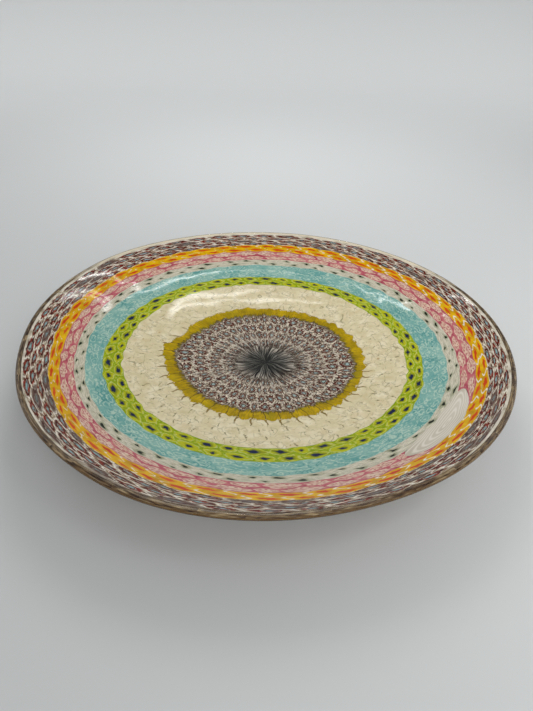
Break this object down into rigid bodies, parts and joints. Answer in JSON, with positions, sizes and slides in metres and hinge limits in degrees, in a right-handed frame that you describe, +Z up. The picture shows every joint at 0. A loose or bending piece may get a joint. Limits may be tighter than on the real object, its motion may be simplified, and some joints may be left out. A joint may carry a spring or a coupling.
{
  "type": "art glass bowl",
  "caption": "Wide shallow round bowl of fused patterned glass slices in concentric coloured rings, backed by a clear amber casing.",
  "frame": {"origin": "centre of the flat ground foot, on the surface that the bowl stands on", "axes": "+Z up along the bowl's axis, towards the opening; -Y towards the viewer; the grained slice is in the +X, -Y quarter"},
  "size_m": [0.43, 0.43, 0.0487],
  "materials": {
    "amber_glass": "polished",
    "charcoal_glass": "polished",
    "rosette_glass": "polished",
    "olive_glass": "polished",
    "ivory_glass": "polished",
    "green_glass": "polished",
    "turquoise_glass": "polished",
    "spotted_glass": "polished",
    "pink_glass": "polished",
    "orange_glass": "polished",
    "maroon_glass": "polished",
    "grain_glass": "polished",
    "cream_glass": "polished",
    "lip_glass": "polished"
  },
  "bodies": {
    "root": {"amber_casing": "amber_glass", "centre_seal": "charcoal_glass", "swirl_row": "charcoal_glass", "rosette_row_1": "rosette_glass", "rosette_row_2": "rosette_glass", "rosette_row_3": "rosette_glass", "rosette_row_4": "rosette_glass", "olive_row": "olive_glass", "ivory_row_1": "ivory_glass", "ivory_row_2": "ivory_glass", "ivory_row_3": "ivory_glass", "ivory_row_4": "ivory_glass", "green_row_1": "green_glass", "green_row_2": "green_glass", "turquoise_row_1": "turquoise_glass", "turquoise_row_2": "turquoise_glass", "turquoise_row_3": "turquoise_glass", "spotted_row_1": "spotted_glass", "spotted_row_2": "spotted_glass", "pink_row_1": "pink_glass", "pink_row_2": "pink_glass", "orange_row_1": "orange_glass", "orange_row_2": "orange_glass", "maroon_row_1": "maroon_glass", "maroon_row_2": "maroon_glass", "maroon_row_3": "maroon_glass", "maroon_row_4": "maroon_glass", "grain_slice": "grain_glass", "cream_thread": "cream_glass", "lip_row": "lip_glass"}
  },
  "joints": []
}
